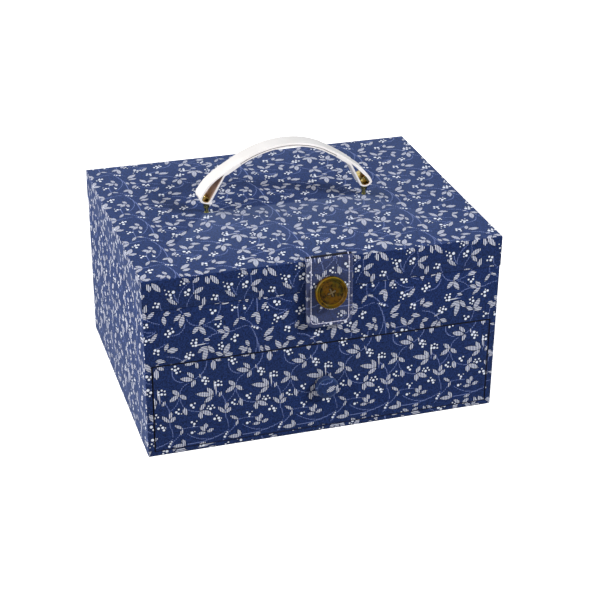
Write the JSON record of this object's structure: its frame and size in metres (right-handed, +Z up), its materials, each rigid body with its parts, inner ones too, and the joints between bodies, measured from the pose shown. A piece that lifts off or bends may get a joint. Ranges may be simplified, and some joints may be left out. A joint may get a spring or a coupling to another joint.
{
  "type": "sewing box",
  "caption": "Rigid cloth-covered sewing box with a hinged lid, strap handle, buttoned closure tab, pull-out drawer and lift-out divided tray.",
  "frame": {"origin": "centre of the underside, on the surface that the box stands on", "axes": "+Z up, the front with the tab and the drawer faces -Y, +X along the width"},
  "size_m": [0.3, 0.2467, 0.2167],
  "materials": {
    "print_cloth": "printed cotton, navy with a small white leaf and berry vine",
    "tab_cloth": "printed cotton, washed paler, stitched",
    "lining_cloth": "plain navy cotton",
    "base_paper": "matt dark paper",
    "fibreboard": "raw fibreboard",
    "covered_card": "card covered with plain navy cotton",
    "grey_card": "raw grey card",
    "ribbon": "white ribbon",
    "strap_leather": "smooth off-white coated leather",
    "brass": "polished, slightly olive",
    "steel": "plain zinc",
    "button_resin": "glossy olive and amber resin",
    "knob_shell": "plain moulding under the cloth",
    "sewing_thread": "pale thread"
  },
  "bodies": {
    "carcass": {"base_paper": "base_paper", "base_board": "fibreboard", "left_side_board": "fibreboard", "right_side_board": "fibreboard", "back_board": "fibreboard", "front_board": "fibreboard", "shelf_board": "fibreboard", "body_cover_cloth": "print_cloth", "lining_floor": "lining_cloth", "left_lining": "lining_cloth", "right_lining": "lining_cloth", "front_lining": "lining_cloth", "back_lining": "lining_cloth", "keeper_disc": "steel", "hinge_cloth_lower": "print_cloth", "hinge_lining_lower": "lining_cloth"},
    "lid": {"lid_top_board": "fibreboard", "lid_front_rim": "fibreboard", "lid_back_rim": "fibreboard", "lid_left_rim": "fibreboard", "lid_right_rim": "fibreboard", "lid_cover_cloth": "print_cloth", "lid_lining_panel": "lining_cloth", "hinge_cloth_upper": "print_cloth", "hinge_lining_upper": "lining_cloth", "left_handle_post": "brass", "right_handle_post": "brass", "post_washers": "brass", "post_nuts": "brass", "tab_root": "tab_cloth"},
    "handle": {"handle_strap": "strap_leather", "handle_backing": "strap_leather", "left_strap_sleeve": "brass", "right_strap_sleeve": "brass", "pivot_pins": "brass"},
    "closure_tab": {"tab_back_lining": "tab_cloth", "tab_core": "grey_card", "tab_front_cover": "tab_cloth", "tab_magnet": "steel", "button": "button_resin", "button_thread": "sewing_thread"},
    "drawer": {"drawer_front_board": "fibreboard", "drawer_front_cover": "print_cloth", "drawer_bottom": "fibreboard", "drawer_left_side": "fibreboard", "drawer_right_side": "fibreboard", "drawer_back": "fibreboard", "drawer_floor_lining": "lining_cloth", "knob_core": "knob_shell", "knob_cover": "print_cloth", "knob_screw": "steel", "knob_washer": "steel"},
    "tray": {"tray_floor": "covered_card", "tray_left_wall": "covered_card", "tray_right_wall": "covered_card", "tray_front_wall": "covered_card", "tray_back_wall": "covered_card", "tray_long_divider": "covered_card", "tray_cross_dividers": "covered_card", "tray_pulls": "ribbon"}
  },
  "joints": [
    {"name": "lid_hinge", "type": "hinge", "parent": "carcass", "child": "lid", "pos_m": [0, 0.1169, 0.132], "axis": [-1, 0, 0], "range_deg": [0, 105]},
    {"name": "handle_swing", "type": "hinge", "parent": "lid", "child": "handle", "pos_m": [0, -0.003, 0.1671], "axis": [1, 0, 0], "range_deg": [-85, 85]},
    {"name": "tab_flex", "type": "hinge", "parent": "lid", "child": "closure_tab", "pos_m": [0, -0.1171, 0.1572], "axis": [-1, 0, 0], "range_deg": [0, 80]},
    {"name": "drawer_slide", "type": "slide", "parent": "carcass", "child": "drawer", "axis": [0, -1, 0], "range_m": [0, 0.2]},
    {"name": "tray_lift", "type": "slide", "parent": "carcass", "child": "tray", "axis": [0, 0, 1], "range_m": [0, 0.0111]}
  ]
}
